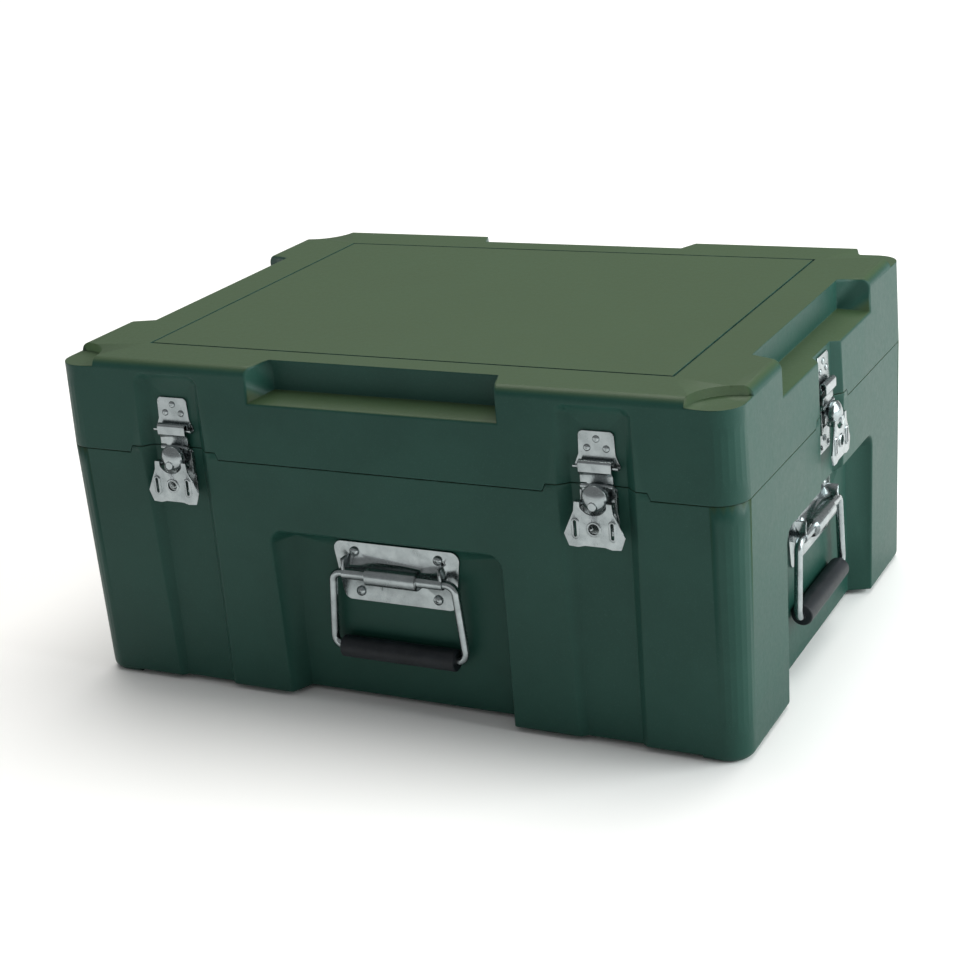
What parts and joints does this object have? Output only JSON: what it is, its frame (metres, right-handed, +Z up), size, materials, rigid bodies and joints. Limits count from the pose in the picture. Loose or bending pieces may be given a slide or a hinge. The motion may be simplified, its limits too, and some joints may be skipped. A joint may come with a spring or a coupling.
{
  "type": "hard equipment case",
  "caption": "Rectangular rotationally moulded transport case with a hinged lid, recessed rotary draw latches and spring-loaded bail handles.",
  "frame": {"origin": "on the ground under the middle of the closed case", "axes": "+Z up, -Y out of the long front wall with two latches and a handle, +X along the length"},
  "size_m": [0.6794, 0.5082, 0.3178],
  "materials": {
    "moulded_plastic": "satin, finely mottled, rotationally moulded",
    "stainless_steel": "polished",
    "spring_steel": "drawn wire",
    "handle_rubber": "moulded, satin",
    "seal_rubber": "closed cell foam"
  },
  "bodies": {
    "base": {"base_shell": "moulded_plastic", "base_rivets": "stainless_steel", "handle_screws": "stainless_steel", "handle_nuts": "stainless_steel", "left_hinge_base_leaf": "stainless_steel", "left_hinge_pin": "stainless_steel", "right_hinge_base_leaf": "stainless_steel", "right_hinge_pin": "stainless_steel", "front_left_latch_plate": "stainless_steel", "front_right_latch_plate": "stainless_steel", "right_end_latch_plate": "stainless_steel", "left_end_latch_plate": "stainless_steel", "front_handle_plate": "stainless_steel", "front_handle_spring": "spring_steel", "right_handle_plate": "stainless_steel", "right_handle_spring": "spring_steel", "left_handle_plate": "stainless_steel", "left_handle_spring": "spring_steel"},
    "lid": {"lid_shell": "moulded_plastic", "lid_gasket": "seal_rubber", "lid_rivets": "stainless_steel", "left_hinge_lid_leaf": "stainless_steel", "right_hinge_lid_leaf": "stainless_steel", "front_left_keeper": "stainless_steel", "front_right_keeper": "stainless_steel", "right_end_keeper": "stainless_steel", "left_end_keeper": "stainless_steel"},
    "front_left_hub": {"front_left_hub": "stainless_steel"},
    "front_left_wing": {"front_left_wing": "stainless_steel", "front_left_wing_pin": "stainless_steel"},
    "front_left_carriage": {"front_left_carriage": "stainless_steel", "front_left_link_pin": "stainless_steel"},
    "front_left_link": {"front_left_link": "stainless_steel"},
    "front_right_hub": {"front_right_hub": "stainless_steel"},
    "front_right_wing": {"front_right_wing": "stainless_steel", "front_right_wing_pin": "stainless_steel"},
    "front_right_carriage": {"front_right_carriage": "stainless_steel", "front_right_link_pin": "stainless_steel"},
    "front_right_link": {"front_right_link": "stainless_steel"},
    "right_end_hub": {"right_end_hub": "stainless_steel"},
    "right_end_wing": {"right_end_wing": "stainless_steel", "right_end_wing_pin": "stainless_steel"},
    "right_end_carriage": {"right_end_carriage": "stainless_steel", "right_end_link_pin": "stainless_steel"},
    "right_end_link": {"right_end_link": "stainless_steel"},
    "left_end_hub": {"left_end_hub": "stainless_steel"},
    "left_end_wing": {"left_end_wing": "stainless_steel", "left_end_wing_pin": "stainless_steel"},
    "left_end_carriage": {"left_end_carriage": "stainless_steel", "left_end_link_pin": "stainless_steel"},
    "left_end_link": {"left_end_link": "stainless_steel"},
    "front_bail": {"front_bail": "stainless_steel", "front_grip": "handle_rubber"},
    "right_bail": {"right_bail": "stainless_steel", "right_grip": "handle_rubber"},
    "left_bail": {"left_bail": "stainless_steel", "left_grip": "handle_rubber"}
  },
  "joints": [
    {"name": "lid_hinge", "type": "hinge", "parent": "base", "child": "lid", "pos_m": [0, 0.248, 0.2304], "axis": [-1, 0, 0], "range_deg": [0, 100]},
    {"name": "front_left_hub_turn", "type": "hinge", "parent": "base", "child": "front_left_hub", "pos_m": [-0.207, -0.236, 0.2295], "axis": [0, -1, 0], "range_deg": [0, 180]},
    {"name": "front_left_carriage_slide", "type": "slide", "parent": "base", "child": "front_left_carriage", "axis": [0, 0, 1], "range_m": [0, 0.008]},
    {"name": "front_left_link_swing", "type": "hinge", "parent": "front_left_carriage", "child": "front_left_link", "pos_m": [-0.207, -0.241, 0.2375], "axis": [1, 0, 0], "range_deg": [0, 18.5]},
    {"name": "front_left_wing_fold", "type": "hinge", "parent": "front_left_hub", "child": "front_left_wing", "pos_m": [-0.207, -0.2472, 0.2245], "axis": [-1, 0, 0], "range_deg": [0, 95]},
    {"name": "front_right_hub_turn", "type": "hinge", "parent": "base", "child": "front_right_hub", "pos_m": [0.207, -0.236, 0.2295], "axis": [0, -1, 0], "range_deg": [0, 180]},
    {"name": "front_right_carriage_slide", "type": "slide", "parent": "base", "child": "front_right_carriage", "axis": [0, 0, 1], "range_m": [0, 0.008]},
    {"name": "front_right_link_swing", "type": "hinge", "parent": "front_right_carriage", "child": "front_right_link", "pos_m": [0.207, -0.241, 0.2375], "axis": [1, 0, 0], "range_deg": [0, 18.5]},
    {"name": "front_right_wing_fold", "type": "hinge", "parent": "front_right_hub", "child": "front_right_wing", "pos_m": [0.207, -0.2472, 0.2245], "axis": [-1, 0, 0], "range_deg": [0, 95]},
    {"name": "right_end_hub_turn", "type": "hinge", "parent": "base", "child": "right_end_hub", "pos_m": [0.321, 0, 0.2295], "axis": [1, 0, 0], "range_deg": [0, 180]},
    {"name": "right_end_carriage_slide", "type": "slide", "parent": "base", "child": "right_end_carriage", "axis": [0, 0, 1], "range_m": [0, 0.008]},
    {"name": "right_end_link_swing", "type": "hinge", "parent": "right_end_carriage", "child": "right_end_link", "pos_m": [0.326, 0, 0.2375], "axis": [0, 1, 0], "range_deg": [0, 18.5]},
    {"name": "right_end_wing_fold", "type": "hinge", "parent": "right_end_hub", "child": "right_end_wing", "pos_m": [0.3322, 0, 0.2245], "axis": [0, -1, 0], "range_deg": [0, 95]},
    {"name": "left_end_hub_turn", "type": "hinge", "parent": "base", "child": "left_end_hub", "pos_m": [-0.321, 0, 0.2295], "axis": [-1, 0, 0], "range_deg": [0, 180]},
    {"name": "left_end_carriage_slide", "type": "slide", "parent": "base", "child": "left_end_carriage", "axis": [0, 0, 1], "range_m": [0, 0.008]},
    {"name": "left_end_link_swing", "type": "hinge", "parent": "left_end_carriage", "child": "left_end_link", "pos_m": [-0.326, 0, 0.2375], "axis": [0, -1, 0], "range_deg": [0, 18.5]},
    {"name": "left_end_wing_fold", "type": "hinge", "parent": "left_end_hub", "child": "left_end_wing", "pos_m": [-0.3322, 0, 0.2245], "axis": [0, 1, 0], "range_deg": [0, 95]},
    {"name": "front_bail_swing", "type": "hinge", "parent": "base", "child": "front_bail", "pos_m": [0, -0.2306, 0.128], "axis": [-1, 0, 0], "range_deg": [0, 90], "stiffness_Nm_per_rad": 0.15, "springref_deg": -17.19},
    {"name": "right_bail_swing", "type": "hinge", "parent": "base", "child": "right_bail", "pos_m": [0.3156, 0, 0.128], "axis": [0, -1, 0], "range_deg": [0, 90], "stiffness_Nm_per_rad": 0.15, "springref_deg": -17.19},
    {"name": "left_bail_swing", "type": "hinge", "parent": "base", "child": "left_bail", "pos_m": [-0.3156, 0, 0.128], "axis": [0, 1, 0], "range_deg": [0, 90], "stiffness_Nm_per_rad": 0.15, "springref_deg": -17.19}
  ],
  "couplings": [
    {"joint": "front_left_carriage_slide", "follows": "front_left_hub_turn", "m_per_rad": 0.002546},
    {"joint": "front_left_link_swing", "follows": "front_left_hub_turn", "ratio": 0.10277},
    {"joint": "front_right_carriage_slide", "follows": "front_right_hub_turn", "m_per_rad": 0.002546},
    {"joint": "front_right_link_swing", "follows": "front_right_hub_turn", "ratio": 0.10277},
    {"joint": "right_end_carriage_slide", "follows": "right_end_hub_turn", "m_per_rad": 0.002546},
    {"joint": "right_end_link_swing", "follows": "right_end_hub_turn", "ratio": 0.10277},
    {"joint": "left_end_carriage_slide", "follows": "left_end_hub_turn", "m_per_rad": 0.002546},
    {"joint": "left_end_link_swing", "follows": "left_end_hub_turn", "ratio": 0.10277}
  ]
}
